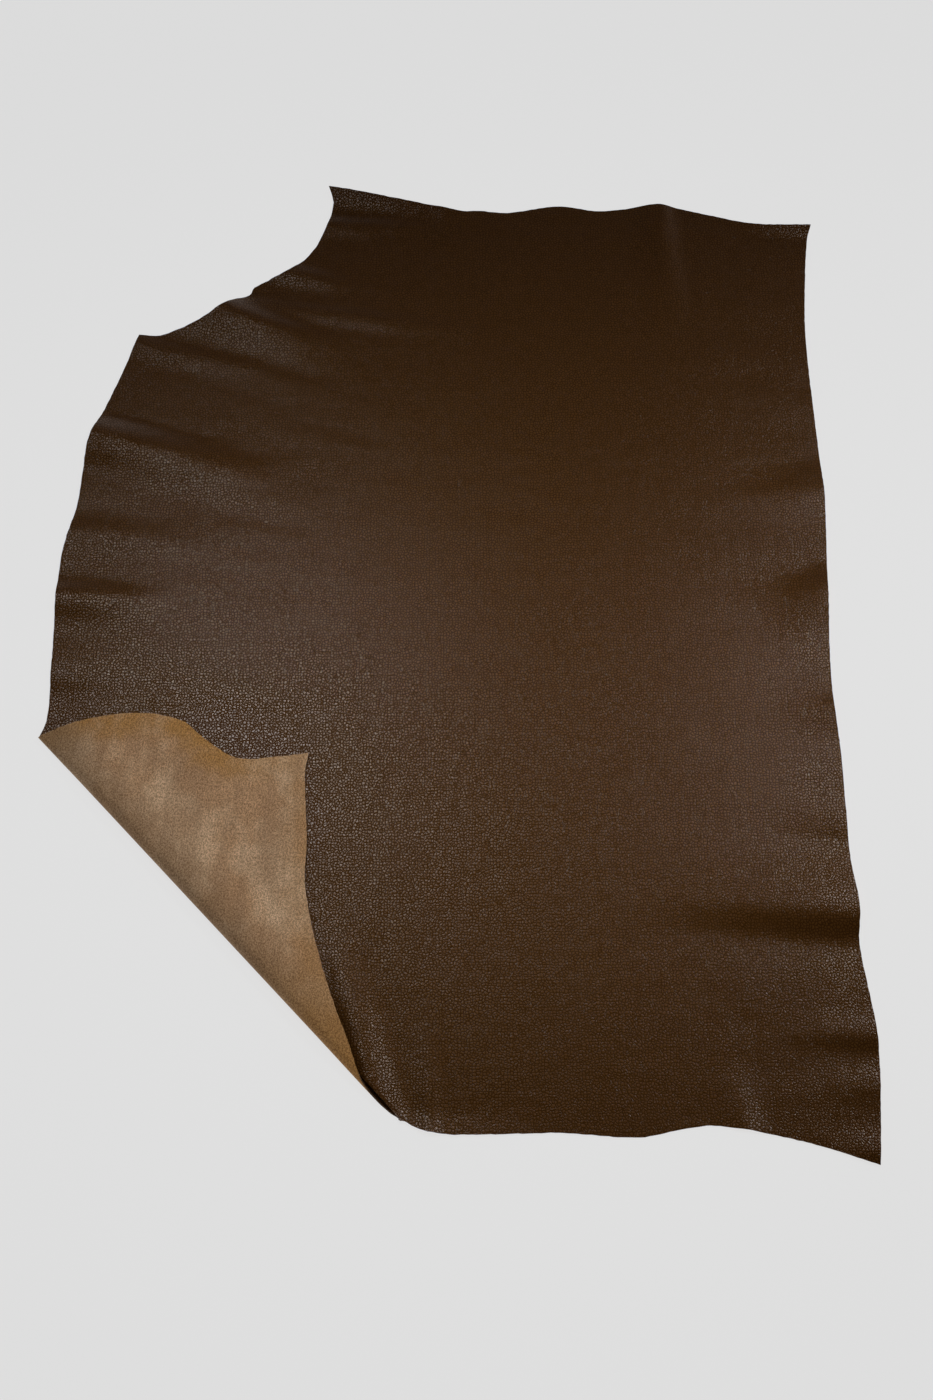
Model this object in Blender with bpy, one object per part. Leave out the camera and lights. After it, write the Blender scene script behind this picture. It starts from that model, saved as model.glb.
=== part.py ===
"""A side of pebble-grained leather, lying grain side up, with its foot corner turned up and over.

The hide is cut flat to its outline and scored into small cells. It is then laid: the corner beyond the
fold line goes up round a soft roll and comes down on the hide, and the margins rise in low waves.
X runs from the belly cut to the spine cut, Y from the rump cut to the crop cut, and Z is up.
The tables and the named sizes are in millimetres, and the finished solid is in metres.
"""

import math

import bmesh
import bpy
from mathutils import Vector

METRES = 0.001
THICKNESS = 2.0
CUT_STEP = 20.0  # between the points along a cut edge
CELL = 20.0  # between the scored lines of the open hide
SNAP = 0.4  # a scored line passes through any point nearer than this

# The corners of the flat hide, as x, y.
HORN = Vector((-192, 773))
SPINE_TOP = Vector((578, 701))
SPINE_FOOT = Vector((573, -773))
BELLY_FOOT = Vector((-590, -572))
SHANK = Vector((-481, 499))

# Each cut edge, as how far along its chord from its first corner, and how far out of the chord.
# along, out
CROP_CUT = (
    (40, -3),
    (115, -11),
    (220, -22),
    (290, -18),
    (370, 2),
    (435, -1),
    (533, 17),
    (600, 9),
    (680, -3),
)
SPINE_CUT = (
    (22, -6),
    (85, -13),
    (205, -20),
    (400, -13),
    (500, -9),
    (650, -15),
    (800, -18),
    (900, -12),
    (1055, -10),
    (1122, -4),
    (1177, -6),
    (1305, 9),
    (1400, 6),
)
RUMP_CUT = (
    (98, -13),
    (220, -14),
    (265, -1),
    (316, 18),
    (421, 30),
    (476, 41),
    (588, 59),
    (640, 46),
    (702, 21),
    (764, 11),
    (854, -8),
    (928, -19),
    (990, -23),
    (1047, -15),
    (1150, -8),
)
BELLY_CUT = (
    (50, -4),
    (104, -2),
    (149, 30),
    (179, 58),
    (240, 72),
    (338, 60),
    (395, 35),
    (425, 27),
    (505, 34),
    (595, 45),
    (691, 52),
    (773, 44),
    (870, 45),
    (923, 35),
    (1000, 16),
)
SHANK_CUT = (
    (23, -23),
    (90, -47),
    (146, -54),
    (172, -64),
    (188, -58),
    (249, -72),
    (291, -72),
    (343, -53),
    (386, -24),
)
CUTS = (
    (HORN, SPINE_TOP, CROP_CUT),
    (SPINE_TOP, SPINE_FOOT, SPINE_CUT),
    (SPINE_FOOT, BELLY_FOOT, RUMP_CUT),
    (BELLY_FOOT, SHANK, BELLY_CUT),
    (SHANK, HORN, SHANK_CUT),
)

# The fold: its line on the hide, and the section that the leather takes across it.
FOLD_START = Vector((-580, -176))
FOLD_HEADING = math.radians(-46.4)
FOLD_LENGTH = 676.0
ROLL_RADIUS = 12.0  # along the middle of the fold
START_RADIUS = 6.0  # where the fold closes at the belly cut
END_RADIUS = 8.0  # and at the rump cut
START_TAPER = 110.0
END_TAPER = 90.0
SETTLE_RADIUS = 300.0  # the long reverse bend that brings the corner down on the hide
LAP_HEIGHT = 5.0  # the flesh face of the corner, where it lies 1 mm over the grain below it
ROLL_STEP = 3.0  # between the scored lines round the roll
ROLL_LINES = 17
SETTLE_STEP = 22.0
SETTLE_LINES = 5

# The waves of the margins. Each starts at x, y, runs inwards on its heading and dies out at its reach.
# Left and right are the widths of its flanks, seen along the heading.
# x, y, heading, reach, left, right, height
WAVES = (
    (585, 228, 185, 145, 50, 60, 5.0),
    (585, 64, 195, 140, 90, 56, 9.0),
    (585, -130, 180, 120, 55, 36, 4.0),
    (585, -300, 172, 150, 45, 40, 3.0),
    (592, -430, 176, 370, 54, 110, 12.0),
    (592, -555, 172, 330, 60, 80, 2.0),
    (600, -602, 178, 210, 28, 40, 4.5),
    (598, -668, 180, 130, 34, 32, 2.5),
    (600, -760, 178, 120, 24, 40, 4.0),
    (-560, 327, -16, 400, 48, 72, 13.0),
    (-590, 160, -6, 400, 30, 44, 3.0),
    (-590, 52, -3, 220, 34, 52, 8.5),
    (-590, -72, 0, 170, 66, 40, 5.0),
    (-490, 486, -15, 420, 22, 34, 3.2),
    (-360, 543, -19, 250, 34, 74, 12.0),
    (-240, 545, -8, 380, 20, 28, 3.2),
    (-245, 612, -14, 130, 26, 30, 4.5),
    (-200, 706, -3, 240, 20, 30, 4.0),
    (-205, 788, -10, 330, 30, 52, 12.0),
    (-8, 748, -86, 100, 28, 28, 2.5),
    (336, 752, -84, 270, 30, 56, 7.0),
    (612, 708, 175, 190, 36, 30, 10.0),
    (-70, -746, 0, 270, 44, 30, 4.5),
    (-18, -738, 92, 210, 22, 20, 3.6),
    (405, -750, 102, 125, 40, 34, 4.5),
    (-97, -674, 106, 270, 28, 46, 9.5),
)


def smooth(t):
    """Rises from 0 to 1 with level ends, and stays there."""
    t = min(max(t, 0.0), 1.0)
    return t * t * (3.0 - 2.0 * t)


def crest(t):
    """Falls from 1 at 0 to 0 at 1 and beyond, with level ends."""
    return math.cos(min(t, 1.0) * math.pi / 2) ** 2


def cut_points(start, end, rows):
    """Points along one cut edge, from its first corner up to the next, on a smooth curve through its rows."""
    chord = end - start
    length = chord.length
    ahead = chord / length
    out = Vector((-ahead.y, ahead.x))
    knots = [(0.0, 0.0), *rows, (length, 0.0)]
    slopes = [
        (knots[min(i + 1, len(knots) - 1)][1] - knots[max(i - 1, 0)][1])
        / (knots[min(i + 1, len(knots) - 1)][0] - knots[max(i - 1, 0)][0])
        for i in range(len(knots))
    ]
    points = []
    for i in range(len(knots) - 1):
        (a, out_a), (b, out_b) = knots[i], knots[i + 1]
        span = b - a
        steps = max(1, round(span / CUT_STEP))
        for step in range(steps):
            t = step / steps
            bulge = out_a * (1 - smooth(t)) + out_b * smooth(t)
            bulge += span * t * (1 - t) * (slopes[i] * (1 - t) - slopes[i + 1] * t)
            points.append(start + ahead * (a + span * t) + out * bulge)
    return points


def roll_radius(along):
    """The fold's outer radius: full along the middle, small where the fold closes."""
    closed_at_start = (ROLL_RADIUS - START_RADIUS) * (1 - smooth(along / START_TAPER))
    closed_at_end = (ROLL_RADIUS - END_RADIUS) * (1 - smooth((FOLD_LENGTH - along) / END_TAPER))
    return ROLL_RADIUS - closed_at_start - closed_at_end


def fold_section(radius, beyond):
    """Where the flesh face goes across the fold, a given length beyond the start of the roll.

    It goes round the roll past the top, down on the long reverse bend, and then lies level.
    Gives the distance over the hide from the outside of the fold, and the height.
    """
    past_top = math.acos(1 - (2 * radius - LAP_HEIGHT) / (radius + SETTLE_RADIUS))
    roll = radius * (math.pi + past_top)
    settle = SETTLE_RADIUS * past_top
    turned = min(beyond, roll) / radius
    left_to_turn = past_top - min(max(beyond - roll, 0.0), settle) / SETTLE_RADIUS
    over = radius * (1 - math.sin(turned)) + SETTLE_RADIUS * (math.sin(past_top) - math.sin(left_to_turn))
    height = radius * (1 - math.cos(turned)) - SETTLE_RADIUS * (math.cos(left_to_turn) - math.cos(past_top))
    return over + max(beyond - roll - settle, 0.0), height


def wave_height(place):
    """How far the flesh face stands off the surface at a place on the hide."""
    total = 0.0
    for x, y, heading, reach, left, right, height in WAVES:
        offset = place - Vector((x, y))
        ahead = Vector((math.cos(math.radians(heading)), math.sin(math.radians(heading))))
        aside = ahead.cross(offset)
        flank = left if aside > 0 else right
        total += height * crest(max(ahead.dot(offset), 0.0) / reach) * crest(abs(aside) / flank)
    return total


def laid(flat):
    """Where a point of the flat hide lies once the hide is folded."""
    ahead = Vector((math.cos(FOLD_HEADING), math.sin(FOLD_HEADING)))
    inwards = Vector((-ahead.y, ahead.x))
    offset = flat - FOLD_START
    along = offset.dot(ahead)
    across = offset.dot(inwards)
    radius = roll_radius(along)
    if across >= radius:
        return flat.to_3d() + Vector((0, 0, wave_height(flat)))
    over, height = fold_section(radius, radius - across)
    return (FOLD_START + ahead * along + inwards * over).to_3d() + Vector((0, 0, height))


def scored_lines(first, last):
    """The distances from the fold line at which lines are scored along it, close together round the roll."""
    lines = [ROLL_RADIUS - ROLL_STEP * i for i in range(ROLL_LINES)]
    lines += [lines[-1] - SETTLE_STEP * (i + 1) for i in range(SETTLE_LINES)]
    while lines[-1] - CELL > first:
        lines.append(lines[-1] - CELL)
    distance = ROLL_RADIUS + CELL
    while distance < last:
        lines.append(distance)
        distance += CELL
    return lines


def score(mesh, direction, distances):
    """Scores the flat hide across a direction, at each distance from the start of the fold."""
    for distance in distances:
        bmesh.ops.bisect_plane(
            mesh,
            geom=mesh.verts[:] + mesh.edges[:] + mesh.faces[:],
            dist=SNAP,
            plane_co=(FOLD_START + direction * distance).to_3d(),
            plane_no=direction.to_3d(),
        )


def leather_material():
    """Dark brown finished leather."""
    material = bpy.data.materials.new("brown_leather")
    material.use_nodes = True
    shader = material.node_tree.nodes["Principled BSDF"]
    shader.inputs["Base Color"].default_value = (0.045, 0.025, 0.012, 1)
    shader.inputs["Roughness"].default_value = 0.5
    shader.inputs["Metallic"].default_value = 0.0
    return material


def make_hide():
    """Cuts the flat hide, scores it, lays it, and gives it its thickness on the grain side."""
    outline = [point for cut in CUTS for point in cut_points(*cut)]
    mesh = bmesh.new()
    mesh.faces.new([mesh.verts.new(point.to_3d()) for point in reversed(outline)])

    ahead = Vector((math.cos(FOLD_HEADING), math.sin(FOLD_HEADING)))
    inwards = Vector((-ahead.y, ahead.x))
    across = [(point - FOLD_START).dot(inwards) for point in outline]
    along = [(point - FOLD_START).dot(ahead) for point in outline]
    score(mesh, inwards, scored_lines(min(across), max(across)))
    columns = range(math.ceil(min(along) / CELL), math.ceil(max(along) / CELL))
    score(mesh, ahead, [column * CELL for column in columns])
    bmesh.ops.triangulate(mesh, faces=mesh.faces[:])

    for vert in mesh.verts:
        vert.co = laid(vert.co.to_2d())
    middle_x = (min(vert.co.x for vert in mesh.verts) + max(vert.co.x for vert in mesh.verts)) / 2
    middle_y = (min(vert.co.y for vert in mesh.verts) + max(vert.co.y for vert in mesh.verts)) / 2
    for vert in mesh.verts:
        vert.co = (vert.co - Vector((middle_x, middle_y, 0))) * METRES

    data = bpy.data.meshes.new("hide")
    mesh.to_mesh(data)
    mesh.free()
    data.materials.append(leather_material())
    data.shade_smooth()
    hide = bpy.data.objects.new("hide", data)
    bpy.context.collection.objects.link(hide)
    skin = hide.modifiers.new("thickness", "SOLIDIFY")
    skin.thickness = THICKNESS * METRES
    skin.offset = 1.0
    skin.use_quality_normals = True


for leftover in list(bpy.data.objects):
    bpy.data.objects.remove(leftover)
make_hide()
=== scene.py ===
import math

import bpy
import numpy as np
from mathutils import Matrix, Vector, noise
from mathutils.kdtree import KDTree


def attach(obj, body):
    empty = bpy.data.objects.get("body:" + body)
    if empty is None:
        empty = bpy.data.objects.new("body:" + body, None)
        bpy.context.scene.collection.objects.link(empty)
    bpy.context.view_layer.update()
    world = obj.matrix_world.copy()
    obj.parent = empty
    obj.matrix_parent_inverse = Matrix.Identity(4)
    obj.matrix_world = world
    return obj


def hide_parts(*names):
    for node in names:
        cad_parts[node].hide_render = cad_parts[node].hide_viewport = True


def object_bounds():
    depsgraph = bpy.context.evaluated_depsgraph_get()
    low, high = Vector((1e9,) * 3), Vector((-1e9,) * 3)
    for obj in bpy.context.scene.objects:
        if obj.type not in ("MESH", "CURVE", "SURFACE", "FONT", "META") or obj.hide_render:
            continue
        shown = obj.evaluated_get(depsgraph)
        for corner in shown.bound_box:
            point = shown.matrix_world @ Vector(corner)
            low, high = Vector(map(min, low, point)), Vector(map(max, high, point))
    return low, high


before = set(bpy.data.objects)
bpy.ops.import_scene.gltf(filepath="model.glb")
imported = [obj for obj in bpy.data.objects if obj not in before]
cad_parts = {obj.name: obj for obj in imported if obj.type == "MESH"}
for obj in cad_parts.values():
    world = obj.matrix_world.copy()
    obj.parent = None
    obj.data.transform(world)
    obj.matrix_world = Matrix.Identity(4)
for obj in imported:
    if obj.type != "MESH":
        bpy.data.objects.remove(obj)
cad_low, cad_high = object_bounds()
bpy.ops.object.select_all(action="DESELECT")


# The hide, cut flat.
# One side of a cattle hide, tanned, embossed and trimmed by knife along five cuts: the crop cut at the
# top, the straight spine cut, the rump cut at the bottom, the round belly cut and the hollow shank cut.
METRES = 0.001
CUT_STEP = 6.0
CELL = 7.5
FRAY_WAVELENGTH = 9.0
HORN = np.array((-192.0, 773.0))
SPINE_TOP = np.array((578.0, 701.0))
SPINE_FOOT = np.array((573.0, -773.0))
BELLY_FOOT = np.array((-590.0, -572.0))
SHANK = np.array((-481.0, 499.0))
# along, out: millimetres along the chord between the cut's two corners, and out of it
CROP_CUT = ((40, -3), (115, -11), (220, -22), (241, -19), (290, -18), (370, 2), (435, -1), (533, 17),
            (600, 9), (680, -3))
SPINE_CUT = ((22, -6), (85, -13), (205, -20), (400, -13), (500, -9), (650, -15), (800, -18), (900, -12),
             (1055, -10), (1122, -4), (1177, -6), (1305, 9), (1400, 6))
RUMP_CUT = ((98, -13), (220, -14), (265, -1), (316, 18), (421, 30), (476, 41), (588, 59), (640, 46),
            (702, 21), (764, 11), (854, -8), (928, -19), (990, -23), (1047, -15), (1150, -8))
BELLY_CUT = ((50, -4), (104, -2), (149, 30), (179, 58), (240, 72), (338, 60), (395, 35), (425, 27),
             (505, 34), (595, 45), (691, 52), (773, 44), (870, 45), (923, 35), (1000, 16))
SHANK_CUT = ((23, -23), (90, -47), (146, -54), (172, -64), (188, -58), (249, -72), (291, -72),
             (343, -53), (386, -24))
# first corner, last corner, rows, how far the knife left it frayed
CUTS = (
    (HORN, SPINE_TOP, CROP_CUT, 0.7),
    (SPINE_TOP, SPINE_FOOT, SPINE_CUT, 0.6),
    (SPINE_FOOT, BELLY_FOOT, RUMP_CUT, 0.9),
    (BELLY_FOOT, SHANK, BELLY_CUT, 0.7),
    (SHANK, HORN, SHANK_CUT, 1.3),
)


def smooth(t):
    """Rises from 0 to 1 with level ends, and stays there."""
    t = np.clip(t, 0.0, 1.0)
    return t * t * (3.0 - 2.0 * t)


def cut_points(start, end, rows, fray):
    """Points along one cut, on a smooth curve through its rows, as uneven as the knife left it."""
    length = float(np.hypot(*(end - start)))
    ahead = (end - start) / length
    out = np.array((-ahead[1], ahead[0]))
    knots = np.array([(0, 0), *rows, (length, 0)], float)
    slopes = np.empty(len(knots))
    slopes[1:-1] = (knots[2:, 1] - knots[:-2, 1]) / (knots[2:, 0] - knots[:-2, 0])
    slopes[0] = knots[1, 1] / knots[1, 0]
    slopes[-1] = -knots[-2, 1] / (length - knots[-2, 0])
    points = []
    for i in range(len(knots) - 1):
        span = knots[i + 1, 0] - knots[i, 0]
        steps = max(1, round(span / CUT_STEP))
        for t in np.arange(steps) / steps:
            along = knots[i, 0] + span * t
            bulge = knots[i, 1] * (1 - smooth(t)) + knots[i + 1, 1] * smooth(t)
            bulge += span * t * (1 - t) * (slopes[i] * (1 - t) - slopes[i + 1] * t)
            point = start + ahead * along
            worn = fray * noise.noise(Vector((*point, 0)) / FRAY_WAVELENGTH) if 0 < along else 0.0
            points.append(point + out * (bulge + worn))
    return points


outline = [point for cut in CUTS for point in cut_points(*cut)]
hide_mesh = bpy.data.meshes.new("hide_leather")
hide_mesh.from_pydata([(*point, 0) for point in reversed(outline)], [], [range(len(outline))])
hide = bpy.data.objects.new("hide_leather", hide_mesh)
bpy.context.collection.objects.link(hide)
bpy.context.view_layer.objects.active = hide
hide.select_set(True)

# The cells are scored along and across the fold line, closely where the leather goes round the roll.
FOLD_START = np.array((-580.0, -176.0))
FOLD_HEADING = math.radians(-46.4)
FOLD_AHEAD = np.array((math.cos(FOLD_HEADING), math.sin(FOLD_HEADING)))
FOLD_INWARDS = np.array((-FOLD_AHEAD[1], FOLD_AHEAD[0]))
ROLL_RADIUS = 12.0
ROLL_STEP = 1.8
ROLL_DEPTH = 36.0
SCORE_TOLERANCE = 0.05


def score(direction, distances):
    """Scores the flat hide across a direction, at each distance from the start of the fold."""
    for distance in distances:
        bpy.ops.mesh.select_all(action="SELECT")
        place = FOLD_START + direction * distance
        bpy.ops.mesh.bisect(plane_co=(*place, 0), plane_no=(*direction, 0), threshold=SCORE_TOLERANCE)


outline_along = [float((point - FOLD_START) @ FOLD_AHEAD) for point in outline]
outline_across = [float((point - FOLD_START) @ FOLD_INWARDS) for point in outline]
bpy.ops.object.mode_set(mode="EDIT")
score(FOLD_INWARDS, np.arange(ROLL_RADIUS + CELL, max(outline_across), CELL))
score(FOLD_INWARDS, np.arange(ROLL_RADIUS, -ROLL_DEPTH, -ROLL_STEP))
score(FOLD_INWARDS, np.arange(-ROLL_DEPTH, min(outline_across), -CELL))
score(FOLD_AHEAD, np.arange(math.ceil(min(outline_along) / CELL) * CELL, max(outline_along), CELL))
bpy.ops.object.mode_set(mode="OBJECT")

# The flat place of every point, in metres, goes into a UV map, so that the grain follows the leather.
flat = np.empty((len(hide_mesh.vertices), 3))
hide_mesh.vertices.foreach_get("co", flat.ravel())
flat = flat[:, :2].copy()
corner_vertices = np.empty(len(hide_mesh.loops), int)
hide_mesh.loops.foreach_get("vertex_index", corner_vertices)
hide_mesh.uv_layers.new(name="flat_hide").uv.foreach_set(
    "vector", (flat[corner_vertices] * METRES).astype(np.float32).ravel()
)
x, y = flat.T


# The hide, laid.
# The belly-side foot corner is turned up round a soft roll and comes down on the hide, flesh side up.
# The margins, slack from drying, rise in waves and ripples, and the open middle lies flat.
THICKNESS = 2.0
START_RADIUS = 6.0
END_RADIUS = 8.0
FOLD_LENGTH = 676.0
START_TAPER = 110.0
END_TAPER = 90.0
SETTLE_RADIUS = 300.0
LAP_HEIGHT = 5.0
LEVEL_REACH = 60.0
LEAN = 0.34
BELLY_RIPPLE = 1.5
FINE_SHARE = 0.35
SPINE_RIPPLE = 1.5
FAINT_SWELL = 0.8
CORNER_SWELL = 2.5
# Each wave starts at x, y, runs inwards on its heading in degrees, and dies out at its reach. Left and
# right are the widths of its flanks, seen along the heading.
# x, y, heading, reach, left, right, height
WAVES = (
    (585, 228, 185, 145, 50, 60, 5.0),
    (585, 64, 195, 140, 90, 56, 9.0),
    (585, -130, 180, 120, 55, 36, 4.0),
    (585, -300, 172, 150, 45, 40, 3.0),
    (592, -430, 176, 370, 54, 110, 12.0),
    (592, -555, 172, 330, 60, 80, 2.0),
    (600, -602, 178, 210, 28, 40, 4.5),
    (598, -668, 180, 130, 34, 32, 2.5),
    (600, -760, 178, 120, 24, 40, 4.0),
    (-560, 327, -16, 400, 48, 72, 13.0),
    (-590, 160, -6, 400, 30, 44, 3.0),
    (-590, 52, -3, 220, 34, 52, 8.5),
    (-590, -72, 0, 170, 66, 40, 5.0),
    (-490, 486, -15, 420, 22, 34, 3.2),
    (-360, 543, -19, 250, 34, 74, 12.0),
    (-240, 545, -8, 380, 20, 28, 3.2),
    (-245, 612, -14, 130, 26, 30, 4.5),
    (-200, 706, -3, 240, 20, 30, 4.0),
    (-205, 788, -10, 330, 30, 52, 12.0),
    (-8, 748, -86, 100, 28, 28, 2.5),
    (336, 752, -84, 270, 30, 56, 7.0),
    (612, 708, 175, 190, 36, 30, 10.0),
    (-70, -746, 0, 270, 44, 30, 4.5),
    (-18, -738, 92, 210, 22, 20, 3.6),
    (405, -750, 102, 125, 40, 34, 4.5),
    (-97, -674, 106, 270, 28, 46, 9.5),
)


def crest(t):
    """Falls from 1 at 0 to 0 at 1 and beyond, with level ends."""
    return np.cos(np.minimum(t, 1.0) * math.pi / 2) ** 2


wave_height = np.zeros(len(flat))
for start_x, start_y, heading, reach, left, right, height in WAVES:
    ahead_x = math.cos(math.radians(heading))
    ahead_y = math.sin(math.radians(heading))
    along = (x - start_x) * ahead_x + (y - start_y) * ahead_y
    aside = (y - start_y) * ahead_x - (x - start_x) * ahead_y
    flank = np.where(aside > 0, left, right)
    wave_height += height * crest(np.maximum(along, 0) / reach) * crest(np.abs(aside) / flank)


def swell(across, along, width, length, seed):
    """Uneven low swells from 0 to 1, wider one way than the other, in the order of the points."""
    places = zip(across / width, along / length)
    return np.array([0.5 + 0.5 * noise.noise(Vector((u, v, seed))) for u, v in places])


# Beside the belly the drawn leather has fine ripples, which lean with the waves, and beside the spine
# fewer and wider ones. All over it lies in faint swells. Under the turned corner it is pressed flat.
lean = LEAN * smooth((y - 20) / 380)
leaning = lean * (x - BELLY_FOOT[0])
belly_ripples = BELLY_RIPPLE * smooth((60 - x) / 420) * smooth((y + 130) / 220)
spine_ripples = SPINE_RIPPLE * smooth((x - 200) / 330)
wave_height += belly_ripples * swell(y + leaning, x, width=34, length=150, seed=3.0)
wave_height += FINE_SHARE * belly_ripples * swell(y - leaning, x, width=20, length=80, seed=8.0)
wave_height += spine_ripples * swell(y, x, width=48, length=220, seed=5.0)
unpressed = smooth((y + 130) / 130 + smooth((x + 170) / 130))
wave_height += FAINT_SWELL * unpressed * swell(y + 0.3 * lean * x, x, width=30, length=130, seed=11.0)

# Across the fold the leather goes round the roll past its top, down on a long reverse bend, then level.
fold_along = (flat - FOLD_START) @ FOLD_AHEAD
fold_across = (flat - FOLD_START) @ FOLD_INWARDS
radius = ROLL_RADIUS - (ROLL_RADIUS - START_RADIUS) * (1 - smooth(fold_along / START_TAPER))
radius -= (ROLL_RADIUS - END_RADIUS) * (1 - smooth((FOLD_LENGTH - fold_along) / END_TAPER))
beyond = np.maximum(radius - fold_across, 0)
past_top = np.arccos(1 - (2 * radius - LAP_HEIGHT) / (radius + SETTLE_RADIUS))
roll = radius * (math.pi + past_top)
settle = SETTLE_RADIUS * past_top
turned = np.minimum(beyond, roll) / radius
left_to_turn = past_top - np.clip(beyond - roll, 0, settle) / SETTLE_RADIUS
over = radius * (1 - np.sin(turned)) + SETTLE_RADIUS * (np.sin(past_top) - np.sin(left_to_turn))
over += np.maximum(beyond - roll - settle, 0)
rise = radius * (1 - np.cos(turned)) - SETTLE_RADIUS * (np.cos(left_to_turn) - np.cos(past_top))
folded = beyond > 0
laid = np.column_stack((flat, wave_height))
laid[folded, :2] = (FOLD_START + np.outer(fold_along, FOLD_AHEAD) + np.outer(over, FOLD_INWARDS))[folded]
level = smooth((beyond - roll - 0.5 * settle) / LEVEL_REACH)
rise += CORNER_SWELL * level * swell(x, y, width=70, length=210, seed=2.0)
laid[folded, 2] = rise[folded]
laid *= METRES
laid[:, 0] += (cad_low.x + cad_high.x) / 2 - (laid[:, 0].min() + laid[:, 0].max()) / 2
laid[:, 1] += (cad_low.y + cad_high.y) / 2 - (laid[:, 1].min() + laid[:, 1].max()) / 2
hide_mesh.vertices.foreach_set("co", laid.astype(np.float32).ravel())
hide_mesh.update()

# How far each point lies from the nearest cut, along the fold and beyond it goes with the mesh, in
# metres, because the dye, the nap and the painted shade along the fold follow them.
edge_tree = KDTree(len(outline))
for i, point in enumerate(outline):
    edge_tree.insert((*point, 0), i)
edge_tree.balance()
from_cut = np.array([edge_tree.find((*point, 0))[2] for point in flat]) * METRES
for name, metres in (
    ("from_cut", from_cut),
    ("along_fold", fold_along * METRES),
    ("past_fold", beyond * METRES),
):
    measure = hide_mesh.attributes.new(name, "FLOAT", "POINT")
    measure.data.foreach_set("value", metres.astype(np.float32))

skin = hide.modifiers.new("thickness", "SOLIDIFY")
skin.thickness = THICKNESS * METRES
skin.offset = 1.0
skin.use_quality_normals = True
skin.material_offset = 1
skin.material_offset_rim = 2


def add(tree, kind, inputs=None, **settings):
    """Adds a shader node, its inputs given by name or number, as values or as nodes' outputs."""
    node = tree.nodes.new("ShaderNode" + kind)
    for name, value in settings.items():
        setattr(node, name, value)
    for name, value in (inputs or {}).items():
        if isinstance(value, bpy.types.NodeSocket):
            tree.links.new(value, node.inputs[name])
        else:
            node.inputs[name].default_value = value
    return node


def math_of(tree, operation, *values):
    """One arithmetic step on numbers or outputs."""
    return add(tree, "Math", dict(enumerate(values)), operation=operation).outputs[0]


def ranged(tree, value, low, high, to_low=0.0, to_high=1.0):
    """Maps low..high smoothly to to_low..to_high, held at both ends."""
    inputs = {"Value": value, "From Min": low, "From Max": high, "To Min": to_low, "To Max": to_high}
    return add(tree, "MapRange", inputs, interpolation_type="SMOOTHSTEP").outputs["Result"]


def mixed(tree, factor, first, second, blend="MIX"):
    """Mixes two colours."""
    node = add(tree, "Mix", data_type="RGBA", blend_type=blend)
    for socket, value in ((0, factor), (6, first), (7, second)):
        if isinstance(value, bpy.types.NodeSocket):
            tree.links.new(value, node.inputs[socket])
        else:
            node.inputs[socket].default_value = value
    return node.outputs[2]


def noise_at(tree, place, scale, detail=2.0, rough=0.5, stretch=(1, 1, 1)):
    """Smooth noise over the leather, as a number about 0.5. Stretch squeezes it along each axis."""
    spread = add(tree, "Mapping", {"Vector": place, "Scale": stretch}).outputs[0]
    inputs = {"Vector": spread, "Scale": scale, "Detail": detail, "Roughness": rough}
    return add(tree, "TexNoise", inputs, noise_dimensions="2D").outputs["Fac"]


# The grain side: drum-dyed dark brown, embossed with uneven pebbles, and sprayed with a thin clear top
# coat that has worn a little glossier on the crests than in the valleys between them. The valleys are
# coloured far darker than the crests, partly by dye held in them and partly by painted shade.
PEBBLE = 0.0042
SMALL_PEBBLE = 0.0023
PEBBLE_WANDER = 0.0028
PEBBLE_RELIEF = 0.00030
DRAWN_RELIEF = 0.0010
VALLEY_DYE_AND_SHADE = (0.004, 0.0015, 0.0002, 1)
CREST_DYE = (0.066, 0.0256, 0.0036, 1)
CLOUD_DYE = (0.030, 0.0113, 0.0016, 1)
BROWN_GLEAM = (1.0, 0.385, 0.06, 1)
grain = bpy.data.materials.new("grain_side")
grain.use_nodes = True
tree = grain.node_tree
place = add(tree, "UVMap", uv_map="flat_hide").outputs["UV"]
wander = add(tree, "TexNoise", {"Vector": place, "Scale": 170, "Detail": 2.0}, noise_dimensions="2D")
centred = add(tree, "VectorMath", {0: wander.outputs["Color"], 1: (0.5, 0.5, 0.5)}, operation="SUBTRACT")
step = add(tree, "VectorMath", {0: centred.outputs[0], "Scale": PEBBLE_WANDER}, operation="SCALE")
warped = add(tree, "VectorMath", {0: place, 1: step.outputs[0]}).outputs[0]


def pebbles(size, rounding):
    """Rounded islands with narrow valleys between them, as a height from 0 to 1."""
    inputs = {"Vector": warped, "Scale": 1 / size, "Randomness": 0.9}
    cells = add(tree, "TexVoronoi", inputs, feature="DISTANCE_TO_EDGE", voronoi_dimensions="2D")
    return ranged(tree, cells.outputs["Distance"], 0.0, rounding)


large = pebbles(PEBBLE, 0.36)
small = pebbles(SMALL_PEBBLE, 0.34)
coarse = ranged(tree, noise_at(tree, place, 60, 3), 0.36, 0.62, 0.82, 1.0)
emboss = math_of(tree, "MULTIPLY", large, coarse)
emboss = math_of(tree, "ADD", emboss, math_of(tree, "MULTIPLY", small, 0.35))
hair_cells = noise_at(tree, place, 900, 2)
relief = math_of(tree, "ADD", emboss, math_of(tree, "MULTIPLY", hair_cells, 0.16))
drawn = noise_at(tree, place, 50, 3, 0.45, stretch=(0.42, 1, 1))
drawn = math_of(tree, "ADD", drawn, noise_at(tree, place, 44, 3, 0.45, stretch=(1, 0.5, 1)))
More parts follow.
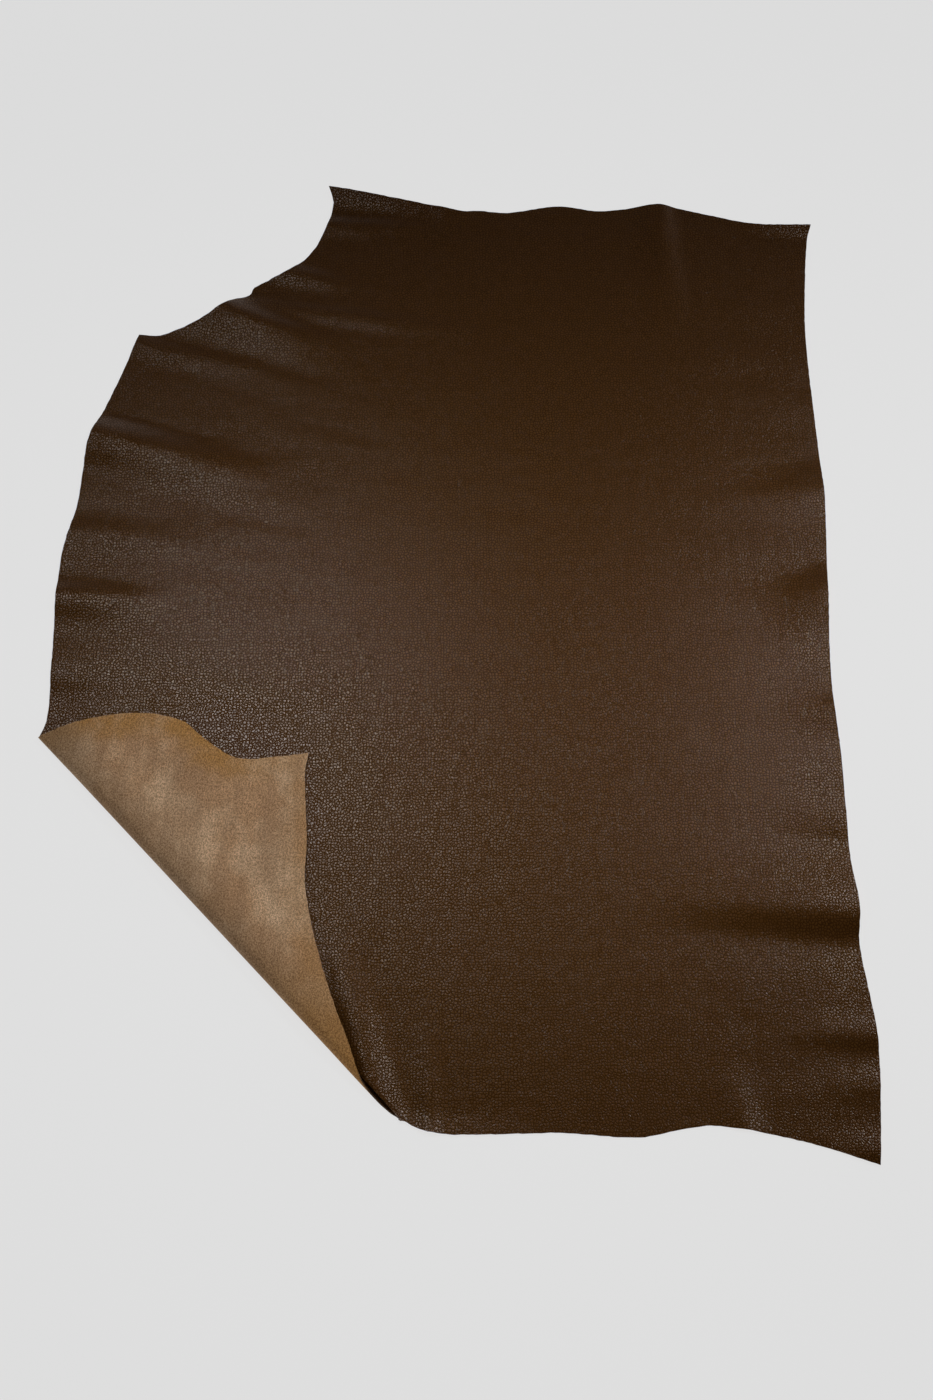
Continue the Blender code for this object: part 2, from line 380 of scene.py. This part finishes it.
# Painted shade: the pebble valleys go near black, partly dye gathered there and partly shade painted
# into the hollows.
dye_and_valley_shade = mixed(tree, ranged(tree, emboss, 0.2, 0.9), VALLEY_DYE_AND_SHADE, CREST_DYE)
cloud = noise_at(tree, place, 34, 5, 0.7, stretch=(0.7, 1.0, 1))
dye_and_valley_shade = mixed(tree, ranged(tree, cloud, 0.38, 0.62, 0.0, 0.24), dye_and_valley_shade, CLOUD_DYE)
shader = tree.nodes["Principled BSDF"]
tree.links.new(dye_and_valley_shade, shader.inputs["Base Color"])
dullness = ranged(tree, emboss, 0.05, 1.0, 0.60, 0.52)
patchy = math_of(tree, "MULTIPLY", noise_at(tree, place, 34, 4), 0.04)
tree.links.new(math_of(tree, "ADD", dullness, patchy), shader.inputs["Roughness"])
shader.inputs["Specular IOR Level"].default_value = 0.66
shader.inputs["Specular Tint"].default_value = BROWN_GLEAM
tree.links.new(ranged(tree, emboss, 0.3, 0.95, 0.02, 1.0), shader.inputs["Coat Weight"])
shader.inputs["Coat Roughness"].default_value = 0.25
shader.inputs["Coat IOR"].default_value = 1.5
lines = add(tree, "Bump", {"Height": drawn, "Strength": 0.4, "Distance": DRAWN_RELIEF})
inputs = {"Height": relief, "Strength": 0.5, "Distance": PEBBLE_RELIEF, "Normal": lines.outputs[0]}
bump = add(tree, "Bump", inputs)
tree.links.new(bump.outputs[0], shader.inputs["Normal"])
tree.links.new(bump.outputs[0], shader.inputs["Coat Normal"])

# The flesh side: split and brushed to a short tan nap, patchy where the brush turned. Dye has bled in
# along the cuts and at the foot of the turned corner, and painted shade darkens the nap along the fold,
# where the roll turns away from the light.
TAN_NAP = (0.715, 0.433, 0.238, 1)
PALE_NAP = (0.86, 0.592, 0.370, 1)
BLOTCHED_NAP = (0.50, 0.285, 0.145, 1)
STREAKED_NAP = (0.46, 0.27, 0.145, 1)
BLED_DYE = (0.60, 0.305, 0.085, 1)
FOLD_SHADE_NAP = (0.24, 0.145, 0.072, 1)
FOOT_DYE = (0.50, 0.240, 0.058, 1)
TUFT_SHADE = (0.48, 0.42, 0.36, 1)
TUFT_LIGHT = (1.24, 1.27, 1.30, 1)
NAP_SHEEN = (1.0, 0.86, 0.7, 1)
NAP_RELIEF = 0.0006
flesh = bpy.data.materials.new("flesh_side")
flesh.use_nodes = True
tree = flesh.node_tree
place = add(tree, "UVMap", uv_map="flat_hide").outputs["UV"]
from_cut_node = add(tree, "Attribute", attribute_name="from_cut").outputs["Fac"]
blotches = noise_at(tree, place, 24, 5, 0.65)
patches = noise_at(tree, place, 8, 4, 0.6, stretch=(0.8, 1.1, 1))
streaks = noise_at(tree, place, 42, 4, 0.6, stretch=(0.12, 1, 1))
fibres = noise_at(tree, place, 420, 3, 0.85, stretch=(0.7, 1, 1))
specks = noise_at(tree, place, 700, 2, 0.7)
nap = mixed(tree, ranged(tree, patches, 0.38, 0.62), TAN_NAP, PALE_NAP)
nap = mixed(tree, ranged(tree, blotches, 0.36, 0.64, 0.0, 0.45), nap, BLOTCHED_NAP)
nap = mixed(tree, ranged(tree, streaks, 0.42, 0.62, 0.0, 0.40), nap, STREAKED_NAP)
bleeding = math_of(tree, "SUBTRACT", from_cut_node, math_of(tree, "MULTIPLY", blotches, 0.05))
bled = ranged(tree, bleeding, -0.026, 0.026, 1.0, 0.0)
along_node = add(tree, "Attribute", attribute_name="along_fold").outputs["Fac"]
tanned = math_of(tree, "MULTIPLY", bled, ranged(tree, patches, 0.42, 0.58, 0.95, 0.55))
tanned = math_of(tree, "MULTIPLY", tanned, ranged(tree, along_node, 0.20, 0.30, 1.0, 0.35))
nap = mixed(tree, tanned, nap, BLED_DYE)
# Painted shade: the nap darkens over the first 28 to 100 mm past the fold line, where the roll turns
# from the light.
fold_shade_distance = add(tree, "Attribute", attribute_name="past_fold").outputs["Fac"]
nap = mixed(tree, ranged(tree, fold_shade_distance, 0.028, 0.100, 0.66, 0.0), nap, FOLD_SHADE_NAP)
foot = ranged(tree, along_node, 0.42, 0.68, 0.0, 0.8)
nap = mixed(tree, foot, nap, FOOT_DYE)
tufts = math_of(tree, "ADD", fibres, math_of(tree, "MULTIPLY", specks, 0.6))
shade = mixed(tree, ranged(tree, tufts, 0.58, 1.0), TUFT_SHADE, TUFT_LIGHT)
nap = mixed(tree, 1.0, nap, shade, blend="MULTIPLY")
shader = tree.nodes["Principled BSDF"]
tree.links.new(nap, shader.inputs["Base Color"])
shader.inputs["Roughness"].default_value = 0.92
shader.inputs["Specular IOR Level"].default_value = 0.2
shader.inputs["Sheen Weight"].default_value = 0.25
shader.inputs["Sheen Roughness"].default_value = 0.5
shader.inputs["Sheen Tint"].default_value = NAP_SHEEN
nap_height = math_of(tree, "ADD", fibres, math_of(tree, "MULTIPLY", blotches, 0.6))
bump = add(tree, "Bump", {"Height": nap_height, "Strength": 0.5, "Distance": NAP_RELIEF})
tree.links.new(bump.outputs[0], shader.inputs["Normal"])

# The cut edge: raw matt fibres, dyed most of the way through.
DARK_FIBRE = (0.05, 0.024, 0.010, 1)
PALE_FIBRE = (0.14, 0.078, 0.036, 1)
FIBRE_RELIEF = 0.0005
edge = bpy.data.materials.new("cut_edge")
edge.use_nodes = True
tree = edge.node_tree
place = add(tree, "TexCoord").outputs["Object"]
strands = add(tree, "TexNoise", {"Vector": place, "Scale": 900, "Detail": 3.0}).outputs["Fac"]
raw = mixed(tree, ranged(tree, strands, 0.35, 0.65), DARK_FIBRE, PALE_FIBRE)
shader = tree.nodes["Principled BSDF"]
tree.links.new(raw, shader.inputs["Base Color"])
shader.inputs["Roughness"].default_value = 0.9
bump = add(tree, "Bump", {"Height": strands, "Strength": 0.6, "Distance": FIBRE_RELIEF})
tree.links.new(bump.outputs[0], shader.inputs["Normal"])

for material in (grain, flesh, edge):
    hide_mesh.materials.append(material)
bpy.ops.object.modifier_apply(modifier="thickness")
bpy.ops.object.shade_smooth_by_angle(angle=math.radians(50))
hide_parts("hide")
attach(hide, "root")


# The table.
# The hide is laid out on a wide panel of matt frosted plastic, lit evenly from below, so that it glows
# nearly white and next to no shadow shows on it. The panel reaches past every view.
PANEL_RADIUS = 30
PANEL_GREY = (0.12, 0.12, 0.12, 1)
PANEL_GLOW = 0.70
bpy.ops.mesh.primitive_circle_add(vertices=96, radius=PANEL_RADIUS, fill_type="NGON", location=(0, 0, 0))
table_top = bpy.context.object
table_top.name = "table_top"
table_material = bpy.data.materials.new("lit_panel")
table_material.use_nodes = True
table_shader = table_material.node_tree.nodes["Principled BSDF"]
table_shader.inputs["Base Color"].default_value = PANEL_GREY
table_shader.inputs["Roughness"].default_value = 0.9
table_shader.inputs["Specular IOR Level"].default_value = 0.0
table_shader.inputs["Emission Color"].default_value = (1, 1, 1, 1)
table_shader.inputs["Emission Strength"].default_value = PANEL_GLOW
table_top.data.materials.append(table_material)


# The light.
# Two square softboxes with grids on them hang beyond the head of the table, one to each side. The walls
# are pale up to a low height, and the ceiling is dark.
def softbox(name, place, target, size, watts, spread):
    """A square softbox with a grid on it, which keeps its light to a cone of the spread in degrees."""
    data = bpy.data.lights.new(name, "AREA")
    data.shape = "SQUARE"
    data.size = size
    data.energy = watts
    data.spread = math.radians(spread)
    lamp = bpy.data.objects.new(name, data)
    bpy.context.collection.objects.link(lamp)
    lamp.location = place
    lamp.rotation_euler = (Vector(target) - Vector(place)).to_track_quat("-Z", "Y").to_euler()


softbox("left_softbox", (-0.58, 0.80, 2.5), (-0.15, -0.30, 0), size=0.55, watts=1.45, spread=54)
softbox("right_softbox", (1.64, 0.85, 2.5), (0.40, -0.17, 0), size=0.60, watts=2.25, spread=54)

PALE_WALL = (0.73, 0.73, 0.73, 1)
DARK_CEILING = (0.01, 0.01, 0.01, 1)
world = bpy.data.worlds.new("studio")
bpy.context.scene.world = world
world.use_nodes = True
sky = world.node_tree
direction = add(sky, "TexCoord").outputs["Generated"]
upwards = add(sky, "SeparateXYZ", {"Vector": direction}).outputs["Z"]
walls = mixed(sky, ranged(sky, upwards, 0.28, 0.45), PALE_WALL, DARK_CEILING)
sky.links.new(walls, sky.nodes["Background"].inputs["Color"])

bpy.context.scene.view_settings.view_transform = "Standard"

# The camera stands over the foot of the table and looks 22 degrees off straight down.
camera_data = bpy.data.cameras.new("camera")
camera_data.lens = 50
camera_data.sensor_width = 36
camera = bpy.data.objects.new("camera", camera_data)
bpy.context.collection.objects.link(camera)
camera.location = (0.0289, -1.1637, 2.6)
camera.rotation_euler = (math.radians(22), 0, 0)
bpy.context.scene.camera = camera
